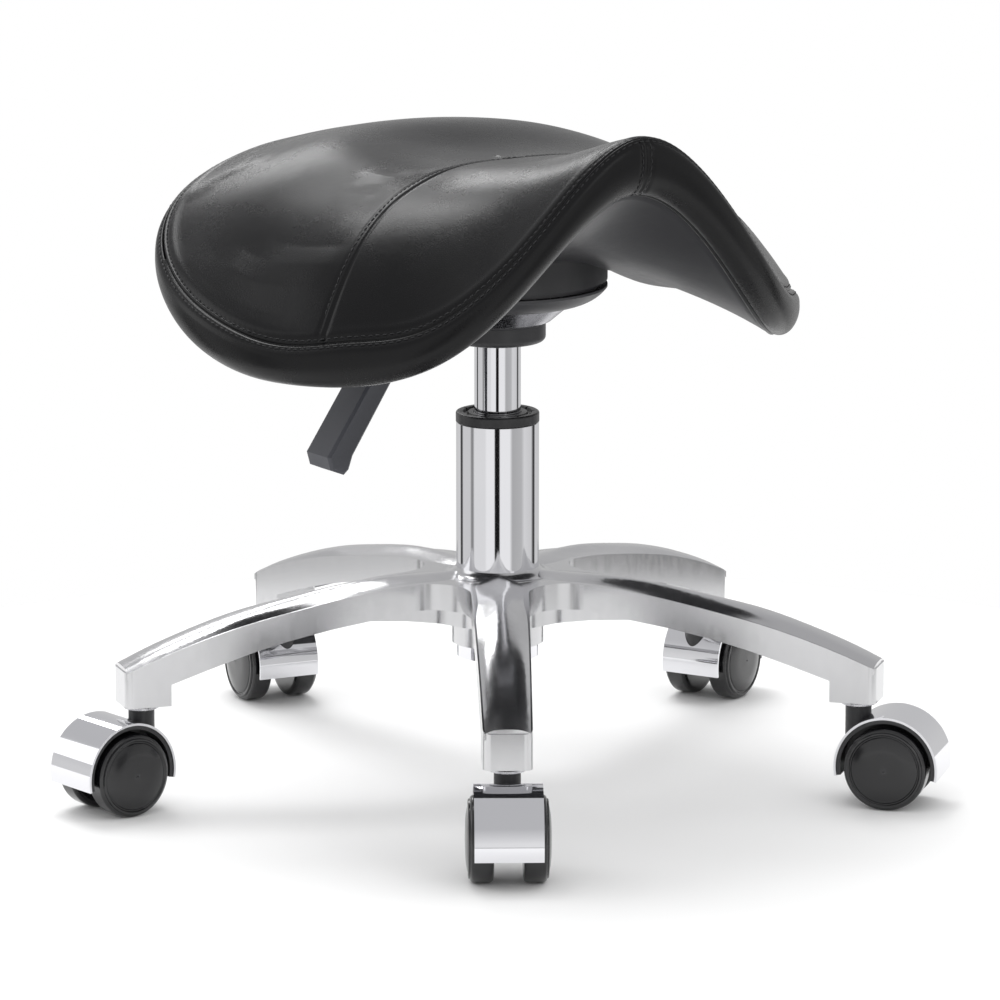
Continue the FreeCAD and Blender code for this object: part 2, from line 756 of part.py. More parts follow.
def height_face(net, lift):
    across = stations(NET_SPAN_X)
    poles = []
    for y, heights in zip(stations(NET_SPAN_Y), net):
        both = list(reversed(heights[1:])) + list(heights)
        poles.append([V(x, y, z + lift) for x, z in zip(across, both)])
    counts = []
    knots = []
    for span in (NET_SPAN_Y, NET_SPAN_X):
        steps = int(2 * span / NET_STEP)
        knots.append([-span + NET_STEP * i for i in range(steps + 1)])
        counts.append([4] + [1] * (steps - 1) + [4])
    surface = Part.BSplineSurface()
    surface.buildFromPolesMultsKnots(poles, counts[0], counts[1], knots[0], knots[1],
                                     False, False, 3, 3)
    return surface.toShape()


def below(net, lift):
    return height_face(net, lift).extrude(V(0, 0, -330))


def above(net, lift):
    return height_face(net, lift).extrude(V(0, 0, 330))


def seat_wire(inset):
    """Plan of the seat drawn in by the inset, split into a left and a right half."""
    half = [V(x, y, 0) for x, y in EDGE_PLAN]
    loop = half + [V(-p.x, p.y, 0) for p in reversed(half[1:-1])]
    drawn = []
    for i, spot in enumerate(loop):
        along = loop[(i + 1) % len(loop)] - loop[i - 1]
        inward = V(-along.y, along.x, 0).normalize()
        drawn.append(spot + inward * inset)
    right = Part.BSplineCurve()
    right.interpolate(drawn[:len(half)], InitialTangent=V(1, 0, 0), FinalTangent=V(-1, 0, 0))
    left = right.toShape().mirror(V(0, 0, 0), V(1, 0, 0))
    return Part.Wire([right.toShape(), left])


def seat_prism(inset):
    face = Part.Face(seat_wire(inset))
    face.translate(V(0, 0, 200))
    return face.extrude(V(0, 0, 260))


def layer(inset, low, high):
    """Slice of the seat between two lifts above the underside."""
    slab = seat_prism(inset).common(above(UNDER_NET, low))
    return slab.common(below(UNDER_NET, high))


def drilled(shape, radius, low, high):
    for x, y in bolt_spots:
        shape = shape.cut(Part.makeCylinder(radius, high - low, V(x, y, low)))
    return shape


gap = size("edge_gap")
pan_low = size("cover_thickness") + 0.3
pan_high = pan_low + size("pan_thickness")
opening = size("dome_radius") + 0.6

cushion = seat_prism(gap).common(below(TOP_NET, 0.0))
cushion = cushion.common(above(UNDER_NET, pan_high + 0.3))
solid_part("seat_cushion", cushion)

band = seat_prism(0).common(below(TOP_NET, -0.5))
band = band.common(above(UNDER_NET, 0.0))
band = band.cut(seat_prism(size("band_thickness")))
solid_part("seat_side_band", band)

cover = layer(gap, 0.0, size("cover_thickness"))
cover = cover.cut(Part.makeCylinder(opening, 400))
solid_part("seat_under_cover", cover)

pan = layer(size("pan_inset"), pan_low, pan_high)
pan = pan.cut(Part.makeCylinder(opening, size("mount_top") + 0.1))
pad_block = Part.makeCylinder(size("dome_radius"), 90, V(0, 0, size("mount_top") + 0.1))
pad_block = pad_block.common(below(UNDER_NET, pan_high - 1.0))
pan = drilled(pan.fuse(pad_block), 4.55, 300.0, 313.8)
solid_part("seat_pan", pan.removeSplitter())

# ------------------------------------------------------------------- export
doc.recompute()
for item in doc.Objects:
    bad = [state for state in item.State if state in ("Invalid", "Error")]
    if bad:
        raise RuntimeError("%s is %s" % (item.Label, bad))
for item in made:
    shape = item.Shape
    if shape.isNull() or not shape.isValid() or not shape.Solids:
        raise RuntimeError("%s has no valid shape" % item.Label)
    shape.exportStep("parts/%s.step" % item.Label)
    box = shape.BoundBox
    print("%-26s %8.1f cm3  x %7.1f %7.1f  y %7.1f %7.1f  z %6.1f %6.1f" % (
        item.Label, shape.Volume / 1000.0, box.XMin, box.XMax,
        box.YMin, box.YMax, box.ZMin, box.ZMax))
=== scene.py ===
import json
import math

import bmesh
import bpy
import numpy as np
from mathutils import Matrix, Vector


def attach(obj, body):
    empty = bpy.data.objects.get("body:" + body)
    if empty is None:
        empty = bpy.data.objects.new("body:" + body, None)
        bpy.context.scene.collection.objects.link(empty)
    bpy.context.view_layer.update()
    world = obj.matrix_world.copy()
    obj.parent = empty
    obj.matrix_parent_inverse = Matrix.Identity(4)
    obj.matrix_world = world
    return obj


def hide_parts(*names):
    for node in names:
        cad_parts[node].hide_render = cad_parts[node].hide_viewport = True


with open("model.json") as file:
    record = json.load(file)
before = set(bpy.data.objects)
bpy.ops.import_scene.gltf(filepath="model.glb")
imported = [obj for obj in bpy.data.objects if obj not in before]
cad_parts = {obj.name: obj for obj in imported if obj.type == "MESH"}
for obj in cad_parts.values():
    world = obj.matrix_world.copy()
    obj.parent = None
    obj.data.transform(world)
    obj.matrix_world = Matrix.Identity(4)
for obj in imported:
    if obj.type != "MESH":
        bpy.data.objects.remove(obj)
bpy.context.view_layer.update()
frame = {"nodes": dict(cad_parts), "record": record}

MM = 0.001
RNG = np.random.default_rng(7)
FULL_TURN = 2 * np.pi

# ------------------------------------------------------------------ seat form
# Lengths in this section and in the cover's are in mm. The nets hold the control
# heights of the padded top and of the underside, as in the part's source: rows
# run from the pommel to the back, columns from the middle outward.
SPAN_X, SPAN_Y, STEP = 200.0, 160.0, 40.0
TOP_NET = np.array([
    [420, 393, 345, 298, 237, 187, 161],
    [418, 397, 347, 301, 243, 195, 171],
    [408, 394, 354, 309, 259, 215, 191],
    [392, 387, 367, 342, 307, 254, 230],
    [383, 384, 372, 365, 331, 288, 272],
    [379, 380, 380, 366, 335, 309, 295],
    [380, 385, 386, 375, 347, 321, 307],
    [394, 392, 389, 373, 348, 327, 317],
    [390, 389, 381, 370, 349, 332, 322],
    [381, 379, 375, 364, 347, 333, 325],
    [381, 378, 372, 363, 347, 333, 326],
], float)
UNDER_NET = np.array([
    [394, 368, 322, 279, 240, 212, 197],
    [388, 364, 318, 277, 243, 217, 203],
    [367, 348, 309, 275, 247, 226, 214],
    [333, 321, 301, 285, 260, 238, 230],
    [316, 314, 306, 298, 280, 258, 251],
    [312, 312, 307, 295, 280, 272, 267],
    [314, 318, 313, 298, 287, 284, 280],
    [324, 329, 327, 316, 306, 300, 296],
    [343, 344, 339, 330, 320, 314, 309],
    [357, 355, 350, 341, 333, 326, 321],
    [360, 355, 350, 343, 335, 328, 324],
], float)
SEAT_MIDDLE = np.array([0.0, 5.0])
MIDDLE_HEIGHT = 300.0

# the front corners of the plan are pulled in by a fraction, around one angle
CORNER_PULL, CORNER_TURN, CORNER_WIDTH = 0.04, 1.0, 0.42

# the shell's soft swell on either side of the mechanism
SWELL_X, SWELL_Y, SWELL_WIDTH, SWELL_LENGTH, SWELL_DEPTH = 104.0, 2.0, 26.0, 42.0, 7.0

# the side band, from the top seam to the lower seam tucked under the edge
LOWER_INSET, BAND_BULGE, BAND_CLEARANCE = 12.0, 5.2, 0.5
HANG, SIDE_HANG, SIDE_TURN, SIDE_WIDTH = 1.6, 3.0, 1.5, 0.6

# the cross seam of the top: half its width, where it meets the ridge, how far
# forward its ends lie, and the power of its curve
SEAM_HALF, SEAM_RIDGE, SEAM_FORWARD, SEAM_POWER = 174.4, -16.5, 57.0, 1.55


def fall(distance, width):
    """Smooth bell, 1 on the line and almost 0 beyond twice the width."""
    return np.exp(-(distance / width) ** 2)


def spline_weights(span, values):
    """Cubic B-spline weights of every control height at each value."""
    count = int(2 * span / STEP)
    inner = np.linspace(-span, span, count + 1)
    knots = np.concatenate([[-span] * 3, inner, [span] * 3])
    x = np.clip(values, -span, span - 1e-6)[:, None]
    w = ((x >= knots[:-1]) & (x < knots[1:])).astype(float)
    for degree in (1, 2, 3):
        n = len(knots) - degree - 1
        left = knots[degree:degree + n] - knots[:n]
        right = knots[degree + 1:degree + 1 + n] - knots[1:1 + n]
        a = np.where(left > 0, (x - knots[:n]) / np.where(left > 0, left, 1), 0)
        from_right = knots[degree + 1:degree + 1 + n] - x
        b = np.where(right > 0, from_right / np.where(right > 0, right, 1), 0)
        w = a * w[:, :n] + b * w[:, 1:n + 1]
    return w


def height(net, x, y):
    """Height of a net's surface; the net holds one half and is mirrored."""
    full = np.concatenate([net[:, :0:-1], net], axis=1)
    x, y = np.asarray(x, float), np.asarray(y, float)
    wx = spline_weights(SPAN_X, x.ravel())
    wy = spline_weights(SPAN_Y, y.ravel())
    return np.einsum("ni,ij,nj->n", wy, full, wx).reshape(x.shape)


def from_pommel(t):
    """Angle from the pommel, 0 to pi on both sides."""
    return np.abs((np.asarray(t) + np.pi) % FULL_TURN - np.pi)


def edge_plan(t):
    """Plan of the top seam; t is 0 at the pommel and pi at the back."""
    x = 187.6 * np.sin(t) - 9.3 * np.sin(2 * t) - 8.7 * np.sin(3 * t)
    y = -0.3 - 165.5 * np.cos(t) - 4.8 * np.cos(2 * t) + 18.5 * np.cos(3 * t)
    corner = 1.0 - CORNER_PULL * fall(from_pommel(t) - CORNER_TURN, CORNER_WIDTH)
    return np.stack([x * corner, y * corner], -1)


def plan_out(t):
    """Unit direction in plan that points away from the seat at its edge."""
    d = edge_plan(t + 1e-4) - edge_plan(t - 1e-4)
    n = np.stack([d[..., 1], -d[..., 0]], -1)
    return n / np.linalg.norm(n, axis=-1, keepdims=True)


def top_point(s, t):
    """The padded top; s is 0 in the middle and 1 on the top seam."""
    p = SEAT_MIDDLE + s[..., None] * (edge_plan(t) - SEAT_MIDDLE)
    return np.concatenate([p, height(TOP_NET, p[..., 0], p[..., 1])[..., None]], -1)


def under_height(x, y):
    """Height of the underside, with the swell beside the mechanism."""
    across = (np.abs(x) - SWELL_X) / SWELL_WIDTH
    along = (y - SWELL_Y) / SWELL_LENGTH
    return height(UNDER_NET, x, y) - SWELL_DEPTH * np.exp(-across ** 2 - along ** 2)


def band_point(b, t):
    """b is 0 on the top seam and 1 on the lower seam, tucked under the edge."""
    rim, out = edge_plan(t), plan_out(t)
    low = rim - out * LOWER_INSET
    z0 = height(TOP_NET, rim[..., 0], rim[..., 1])
    z1 = under_height(low[..., 0], low[..., 1]) + BAND_CLEARANCE
    swell = BAND_BULGE * np.sin(np.pi * b ** 0.72)
    p = rim + (low - rim) * (b ** 2.3)[..., None] + out * swell[..., None]
    drop = 1 - (1 - b) ** 1.5
    hang = HANG + SIDE_HANG * fall(from_pommel(t) - SIDE_TURN, SIDE_WIDTH)
    sag = hang * np.sin(np.pi * b ** 2)
    return np.concatenate([p, (z0 + (z1 - z0) * drop - sag)[..., None]], -1)


def seam_line(count):
    """Cross seam of the top: from the left edge over the ridge to the right edge."""
    u = np.linspace(-1, 1, count)
    y = SEAM_RIDGE - SEAM_FORWARD * np.abs(u) ** SEAM_POWER
    return np.stack([SEAM_HALF * u, y], -1)


def seam_offset(x, y):
    """Signed distance in plan from the cross seam, positive toward the back."""
    u = np.clip(x / SEAM_HALF, -1.15, 1.15)
    line = SEAM_RIDGE - SEAM_FORWARD * np.abs(u) ** SEAM_POWER
    steepness = -SEAM_FORWARD * SEAM_POWER * np.abs(u) ** (SEAM_POWER - 1)
    slope = steepness * np.sign(u) / SEAM_HALF
    return (y - line) / np.sqrt(1 + slope ** 2)


# ------------------------------------------------------------------- meshes
def new_object(name, verts, faces, material=None):
    """A smooth-shaded object in the scene, in metres."""
    mesh = bpy.data.meshes.new(name)
    mesh.from_pydata([tuple(v) for v in verts], [], faces)
    mesh.validate()
    mesh.polygons.foreach_set("use_smooth", [True] * len(mesh.polygons))
    obj = bpy.data.objects.new(name, mesh)
    bpy.context.scene.collection.objects.link(obj)
    if material:
        mesh.materials.append(material)
    return obj


def ring_faces(rows, cols, offset=0):
    """Quads between consecutive closed rings of cols points."""
    faces = []
    for i in range(rows - 1):
        a, b = offset + i * cols, offset + (i + 1) * cols
        for j in range(cols):
            k = (j + 1) % cols
            faces.append((a + j, a + k, b + k, b + j))
    return faces


def ring_normals(P):
    """Unit normals of a grid of closed rings of points (rows, cols, 3)."""
    du = np.gradient(P, axis=0)
    dv = (np.roll(P, -1, axis=1) - np.roll(P, 1, axis=1)) / 2
    n = np.cross(du, dv)
    return n / np.maximum(np.linalg.norm(n, axis=-1, keepdims=True), 1e-9)


def outward_normals(P):
    """The grid's unit normals, turned away from the seat's middle."""
    n = ring_normals(P)
    middle = np.array([*SEAT_MIDDLE, MIDDLE_HEIGHT])
    if np.mean(np.einsum("ijk,ijk->ij", n, P - middle)) < 0:
        n = -n
    return n


def face_outward(obj):
    """Gives all faces of an object the same, outward winding."""
    bm = bmesh.new()
    bm.from_mesh(obj.data)
    bmesh.ops.recalc_face_normals(bm, faces=bm.faces)
    bm.to_mesh(obj.data)
    bm.free()


def closed_tube(name, points, radius, material, sides=10):
    """A round cord along a closed line of points."""
    P = np.asarray(points, float)
    T = np.roll(P, -1, 0) - np.roll(P, 1, 0)
    T /= np.linalg.norm(T, axis=1, keepdims=True)
    nearly_up = np.array([0, 0, 1.0]) + 1e-3
    A = np.cross(T, nearly_up)
    A /= np.linalg.norm(A, axis=1, keepdims=True)
    B = np.cross(A, T)
    angle = np.linspace(0, FULL_TURN, sides, endpoint=False)[None, :, None]
    rings = P[:, None] + radius * (np.cos(angle) * A[:, None] + np.sin(angle) * B[:, None])
    faces = ring_faces(len(P), sides)
    last = (len(P) - 1) * sides
    faces += [(last + j, last + (j + 1) % sides, (j + 1) % sides, j) for j in range(sides)]
    return new_object(name, rings.reshape(-1, 3), faces, material)


# ---------------------------------------------------------------- materials
def tree(name):
    """A new material with its nodes, its links and its main shader."""
    m = bpy.data.materials.new(name)
    m.use_nodes = True
    nodes, links = m.node_tree.nodes, m.node_tree.links
    return m, nodes, links, nodes["Principled BSDF"]


def object_coord(nodes):
    return nodes.new("ShaderNodeTexCoord").outputs["Object"]


def noise(nodes, links, coord, scale, detail=3.0, rough=0.5, distortion=0.0):
    n = nodes.new("ShaderNodeTexNoise")
    n.inputs["Scale"].default_value = scale
    n.inputs["Detail"].default_value = detail
    n.inputs["Roughness"].default_value = rough
    n.inputs["Distortion"].default_value = distortion
    links.new(coord, n.inputs["Vector"])
    return n.outputs["Fac"]


def remap(nodes, links, value, low, high, frm):
    n = nodes.new("ShaderNodeMapRange")
    n.inputs["From Min"].default_value = frm[0]
    n.inputs["From Max"].default_value = frm[1]
    n.inputs["To Min"].default_value = low
    n.inputs["To Max"].default_value = high
    links.new(value, n.inputs["Value"])
    return n.outputs["Result"]


def mix(nodes, links, factor, low, high):
    """Mixes two colours, each of them a triple or another node's output."""
    n = nodes.new("ShaderNodeMix")
    n.data_type = "RGBA"
    links.new(factor, n.inputs["Factor"])
    for socket, colour in (("A", low), ("B", high)):
        if isinstance(colour, tuple):
            n.inputs[socket].default_value = (*colour, 1)
        else:
            links.new(colour, n.inputs[socket])
    return n.outputs["Result"]


def bump(nodes, links, height_value, strength, distance, before=None):
    n = nodes.new("ShaderNodeBump")
    n.inputs["Strength"].default_value = strength
    n.inputs["Distance"].default_value = distance
    links.new(height_value, n.inputs["Height"])
    if before is not None:
        links.new(before, n.inputs["Normal"])
    return n.outputs["Normal"]


def stretched(nodes, links, coord, scale):
    n = nodes.new("ShaderNodeMapping")
    n.inputs["Scale"].default_value = scale
    links.new(coord, n.inputs["Vector"])
    return n.outputs["Vector"]


def convex_edge_lightening(nodes, links, amount):
    """0 on flats, up to the amount on convex edges."""
    n = nodes.new("ShaderNodeNewGeometry")
    return remap(nodes, links, n.outputs["Pointiness"], 0.0, amount, (0.52, 0.6))


def leather_material(name, base, sheen_colour, rough=(0.21, 0.34)):
    """Soft leather: fine pores and creases, and a sheen that varies slowly."""
    m, nodes, links, bsdf = tree(name)
    coord = object_coord(nodes)
    broad = noise(nodes, links, coord, scale=18.0, detail=3.0, rough=0.55)
    fine = noise(nodes, links, coord, scale=420.0, detail=4.0, rough=0.6)
    creases = noise(nodes, links, coord, scale=95.0, detail=5.0, rough=0.6, distortion=0.6)
    pore = nodes.new("ShaderNodeTexVoronoi")
    pore.feature = "DISTANCE_TO_EDGE"
    pore.inputs["Scale"].default_value = 780.0
    links.new(coord, pore.inputs["Vector"])
    links.new(mix(nodes, links, broad, base, sheen_colour), bsdf.inputs["Base Color"])
    both = nodes.new("ShaderNodeMath")
    both.operation = "MULTIPLY_ADD"
    links.new(fine, both.inputs[0])
    both.inputs[1].default_value = 0.35
    links.new(broad, both.inputs[2])
    sheen = remap(nodes, links, both.outputs[0], rough[0], rough[1], (0.35, 0.95))
    links.new(sheen, bsdf.inputs["Roughness"])
    cell = remap(nodes, links, pore.outputs["Distance"], 0.0, 1.0, (0.0, 0.25))
    pores = bump(nodes, links, cell, strength=0.10, distance=0.0003)
    creased = bump(nodes, links, creases, 0.10, 0.0008, before=pores)
    uneven = bump(nodes, links, broad, 0.10, 0.004, before=creased)
    links.new(uneven, bsdf.inputs["Normal"])
    bsdf.inputs["Specular IOR Level"].default_value = 0.21
    bsdf.inputs["Coat Weight"].default_value = 0.05
    bsdf.inputs["Coat Roughness"].default_value = 0.22
    return m


def metal_material(name, base, other, rough, grain_scale, grain, strength):
    """Metal with a fine grain, stretched along the height by its third number."""
    m, nodes, links, bsdf = tree(name)
    coord = object_coord(nodes)
    vec = stretched(nodes, links, coord, grain)
    streak = noise(nodes, links, vec, grain_scale, detail=4.0, rough=0.6)
    cloud = noise(nodes, links, coord, scale=14.0, detail=2.0)
    links.new(mix(nodes, links, cloud, base, other), bsdf.inputs["Base Color"])
    sheen = remap(nodes, links, streak, rough[0], rough[1], (0.3, 0.7))
    links.new(sheen, bsdf.inputs["Roughness"])
    bsdf.inputs["Metallic"].default_value = 1.0
    links.new(bump(nodes, links, streak, strength, 0.0003), bsdf.inputs["Normal"])
    return m


def plastic_material(name, base, other, rough, scale, strength, specular=0.5, coat=0.0):
    """Moulded plastic, rubber or thread, with a lighter colour on convex edges."""
    m, nodes, links, bsdf = tree(name)
    coord = object_coord(nodes)
    grain = noise(nodes, links, coord, scale, detail=3.0, rough=0.6)
    cloud = noise(nodes, links, coord, scale=30.0, detail=2.0)
    colour = mix(nodes, links, cloud, base, other)
    # the colour turns lighter on convex edges, by the mesh's pointiness
    lighter_edge_colour = tuple(min(1.0, c * 2.6 + 0.012) for c in base)
    edge_share = convex_edge_lightening(nodes, links, 0.6)
    links.new(mix(nodes, links, edge_share, colour, lighter_edge_colour), bsdf.inputs["Base Color"])
    sheen = remap(nodes, links, cloud, rough[0], rough[1], (0.3, 0.7))
    links.new(sheen, bsdf.inputs["Roughness"])
    links.new(bump(nodes, links, grain, strength, 0.0002), bsdf.inputs["Normal"])
    bsdf.inputs["Specular IOR Level"].default_value = specular
    bsdf.inputs["Coat Weight"].default_value = coat
    bsdf.inputs["Coat Roughness"].default_value = 0.12
    return m


LEATHER = leather_material(
    "black_leather", (0.0025, 0.0025, 0.003), (0.004, 0.004, 0.0045))
PIPING = leather_material(
    "piping_leather", (0.005, 0.005, 0.006), (0.008, 0.008, 0.009), rough=(0.24, 0.36))
UNDER = leather_material(
    "under_cover_vinyl", (0.016, 0.016, 0.018), (0.022, 0.022, 0.025), rough=(0.32, 0.44))
ALUMINIUM = metal_material(
    "polished_aluminium", (0.61, 0.61, 0.62), (0.58, 0.58, 0.59), rough=(0.17, 0.22),
    grain_scale=220.0, grain=(1, 1, 0.35), strength=0.002)
CHROME = metal_material(
    "chrome", (0.80, 0.80, 0.82), (0.74, 0.74, 0.77), rough=(0.035, 0.07),
    grain_scale=90.0, grain=(1, 1, 0.15), strength=0.006)
STEEL = metal_material(
    "plated_steel", (0.60, 0.60, 0.62), (0.50, 0.50, 0.52), rough=(0.22, 0.34),
    grain_scale=500.0, grain=(1, 1, 0.2), strength=0.05)
CONE_STEEL = metal_material(
    "pressed_steel", (0.34, 0.34, 0.36), (0.26, 0.26, 0.28), rough=(0.2, 0.3),
    grain_scale=300.0, grain=(1, 1, 0.3), strength=0.03)
THREAD = plastic_material(
    "thread", (0.007, 0.007, 0.008), (0.012, 0.012, 0.014), rough=(0.5, 0.65),
    scale=2600.0, strength=0.3)
PLASTIC = plastic_material(
    "moulded_black", (0.008, 0.008, 0.009), (0.013, 0.013, 0.015), rough=(0.34, 0.46),
    scale=900.0, strength=0.10)
BOSS = plastic_material(
    "boss_black", (0.016, 0.016, 0.018), (0.024, 0.024, 0.027), rough=(0.38, 0.5),
    scale=800.0, strength=0.12)
PADDLE = plastic_material(
    "paddle_black", (0.020, 0.021, 0.026), (0.03, 0.031, 0.037), rough=(0.42, 0.55),
    scale=1500.0, strength=0.22)
WHEEL = plastic_material(
    "gloss_nylon", (0.005, 0.005, 0.006), (0.008, 0.008, 0.009), rough=(0.16, 0.26),
    scale=700.0, strength=0.03, specular=0.55, coat=0.2)
RUBBER = plastic_material(
    "rubber", (0.03, 0.03, 0.03), (0.045, 0.045, 0.045), rough=(0.6, 0.75),
    scale=700.0, strength=0.2)

BY_SLOT = {
    "cast_aluminium": ALUMINIUM, "chrome_column": CHROME, "steel_small": STEEL,
    "bush_plastic": PLASTIC, "bump_rubber": RUBBER, "rod_steel": STEEL,
    "mechanism_paint": BOSS, "mechanism_steel": CONE_STEEL, "plate_steel": BOSS,
    "paddle_plastic": PADDLE, "seat_leather": LEATHER, "under_fabric": UNDER,
    "pan_plastic": PLASTIC, "castor_steel": STEEL, "castor_chrome": CHROME,
    "castor_plastic": PLASTIC, "wheel_plastic": WHEEL,
}
for part in frame["record"]["subparts"]:
    obj = frame["nodes"][part["node"]]
    obj.data.materials.clear()
    obj.data.materials.append(BY_SLOT[part["material_slot"]])

# ------------------------------------------------------- padding, by pressure
# The cover is simulated on a coarse grid: rings round the top, then round the
# band. How far it swells is carried over to the fine cover below.
T_COARSE, S_COARSE, B_COARSE = 96, 18, 6
S_FIRST = 0.06
SEWN_REACH = 14.0
PRESSURE, FRAMES = 4.0, 20
PUFF_DIP, PUFF_CAP = -1.0, 6.0


def coarse_grid():
    t = np.linspace(0, FULL_TURN, T_COARSE, endpoint=False)
    s = np.linspace(S_FIRST, 1.0, S_COARSE)
    b = np.linspace(0, 1, B_COARSE + 1)[1:]
    S, T = np.meshgrid(s, t, indexing="ij")
    B, TB = np.meshgrid(b, t, indexing="ij")
    return np.concatenate([top_point(S, T), band_point(B, TB)], 0)


def sewn_weights(P):
    """1 where the cover is sewn down, falling to 0 away from the cross seam."""
    distance = np.abs(seam_offset(P[..., 0], P[..., 1]))
    weight = np.clip(1 - distance / SEWN_REACH, 0, 1)
    weight[S_COARSE:] = 0.0
    weight[S_COARSE - 1] = 1.0
    weight[-1] = 1.0
    return weight.ravel()


def inflate():
    """Lets the cover swell between its seams under air pressure and returns how
    far each coarse grid point moved outward."""
    P = coarse_grid()
    middle_z = height(TOP_NET, *SEAT_MIDDLE[:, None])[0]
    verts = np.concatenate([P.reshape(-1, 3), [[*SEAT_MIDDLE, middle_z]]]) * MM
    hub = len(verts) - 1
    faces = ring_faces(len(P), T_COARSE)
    faces += [(hub, (j + 1) % T_COARSE, j) for j in range(T_COARSE)]
    obj = new_object("cover_sim", verts, faces)
    group = obj.vertex_groups.new(name="sewn")
    for i, weight in enumerate(sewn_weights(P)):
        if weight > 0.02:
            group.add([i], float(weight), "REPLACE")
    cloth = obj.modifiers.new("cloth", "CLOTH")
    c = cloth.settings
    c.quality = 6
    c.mass = 0.4
    c.tension_stiffness = 30
    c.compression_stiffness = 20
    c.shear_stiffness = 12
    c.bending_stiffness = 6
    c.use_pressure = True
    c.uniform_pressure_force = PRESSURE
    c.vertex_group_mass = "sewn"
    c.effector_weights.gravity = 0
    cloth.collision_settings.use_self_collision = False
    cloth.point_cache.frame_start = 1
    cloth.point_cache.frame_end = FRAMES
    scene = bpy.context.scene
    for number in range(1, FRAMES + 1):
        scene.frame_set(number)
    mesh = obj.evaluated_get(bpy.context.evaluated_depsgraph_get()).to_mesh()
    co = np.zeros(len(mesh.vertices) * 3)
    mesh.vertices.foreach_get("co", co)
    moved = co.reshape(-1, 3)[:hub].reshape(P.shape) / MM - P
    scene.frame_set(1)
    bpy.data.objects.remove(obj)
    return np.einsum("ijk,ijk->ij", moved, outward_normals(P))


# ------------------------------------------------------------ the seat cover
T_FINE, S_FINE, B_FINE = 900, 150, 44
# distance between stitches, and of each row of them from its seam
PITCH, RIM_ROW, CROSS_ROW, POMMEL_ROW = 4.3, 3.0, 4.0, 3.4
# the cover lies this much inside the form before it swells, but for a strip at
# the rim
START_SMALLER, START_STRIP = 0.5, 26.0
ROLL_GAP = 7.0
PUCKER = 0.12
GROOVES = {                      # depth and width; the roll stands out instead
    "rim seam": (1.5, 1.1),
    "rim stitches": (0.7, 1.0),
    "rim roll": (-0.35, 2.4),
    "lower edge": (1.2, 1.6),
    "cross seam": (1.2, 0.9),
    "cross stitches": (0.55, 1.0),
    "pommel seam": (1.0, 1.0),
    "pommel stitches": (0.6, 1.0),
}


def groove(name, distance, where=1.0):
    """How far the cover is drawn in at a distance from a line."""
    depth, width = GROOVES[name]
    return depth * fall(distance, width) * where


def resample(grid, rows, t):
    """Spreads coarse rings over the fine grid; columns wrap round."""
    last = grid.shape[0] - 1
    r = np.clip(rows, 0, last)
    i = np.floor(r).astype(int)
    f = (r - i)[:, None]
    lines = grid[i] * (1 - f) + grid[np.minimum(i + 1, last)] * f
    c = t / FULL_TURN * grid.shape[1]
    j = np.floor(c).astype(int) % grid.shape[1]
    g = c - np.floor(c)
    return lines[:, j] * (1 - g) + lines[:, (j + 1) % grid.shape[1]] * g


def smooth_rows(a, times):
    """Averages each point with its neighbours along the ring."""
    for _ in range(times):
        a = (a + np.roll(a, 1, 1) + np.roll(a, -1, 1)) / 3
    return a


def padding():
    """How far the cover stands out from the form between its seams."""
    grown = -START_SMALLER * is_top * (1 - np.exp(-(rim_gap / START_STRIP) ** 1.5))
    puff = np.clip(inflate(), PUFF_DIP, PUFF_CAP)
    s_rows = (s_fine - S_FIRST) / (1 - S_FIRST) * (S_COARSE - 1)
    b_rows = S_COARSE - 1 + b_fine * B_COARSE
    return grown + smooth_rows(resample(puff, np.concatenate([s_rows, b_rows]), t_fine), 8)


def drawn_in():
    """The seams, with a shallow trough under each row of stitches and small
    puckers between the stitches of the rim."""
    on_cross = is_top * (np.abs(cover[..., 0]) < 176) * (cover[..., 1] < 40)
    on_front = (~is_top) * (cover[..., 1] < -60)
    depth = groove("rim seam", rim_gap)
    depth += groove("rim stitches", rim_gap - RIM_ROW)
    depth += groove("rim roll", rim_gap - ROLL_GAP)
    depth += groove("lower edge", low_gap)
    depth += groove("cross seam", cross, on_cross)
    depth += groove("cross stitches", cross - CROSS_ROW, on_cross)
    depth += groove("pommel seam", cover[..., 0], on_front)
    depth += groove("pommel stitches", np.abs(cover[..., 0]) - POMMEL_ROW, on_front)
    run = np.cumsum(np.linalg.norm(np.roll(top[-1], -1, 0) - top[-1], axis=1))
    puckers = PUCKER * np.sin(run / PITCH * FULL_TURN)[None]
    return depth - puckers * fall(rim_gap - RIM_ROW, 1.6)


t_fine = np.linspace(0, FULL_TURN, T_FINE, endpoint=False)
s_fine = np.clip(1 - (1 - np.linspace(0, 1, S_FINE + 1)[1:]) ** 1.5, 0.004, 1.0)
b_fine = np.linspace(0, 1, B_FINE + 1)[1:]
top = top_point(*np.meshgrid(s_fine, t_fine, indexing="ij"))
band = band_point(*np.meshgrid(b_fine, t_fine, indexing="ij"))
cover = np.concatenate([top, band], 0)
is_top = (np.arange(len(cover)) < len(top))[:, None]
rim_gap = np.linalg.norm(cover - top[-1][None], axis=-1)
low_gap = np.linalg.norm(cover - band[-1][None], axis=-1)
cross = seam_offset(cover[..., 0], cover[..., 1])
normal = outward_normals(cover)
normal[0] = normal[1]
cover_points = cover + normal * (padding() - drawn_in())[..., None]

middle = cover_points[0].mean(0)
verts = np.concatenate([cover_points.reshape(-1, 3), [middle]]) * MM
hub = len(verts) - 1
faces = ring_faces(len(cover), T_FINE)
faces += [(hub, j, (j + 1) % T_FINE) for j in range(T_FINE)]
seat = new_object("seat_leather", verts, faces, LEATHER)
face_outward(seat)
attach(seat, "seat")
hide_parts("seat_cushion", "seat_side_band")

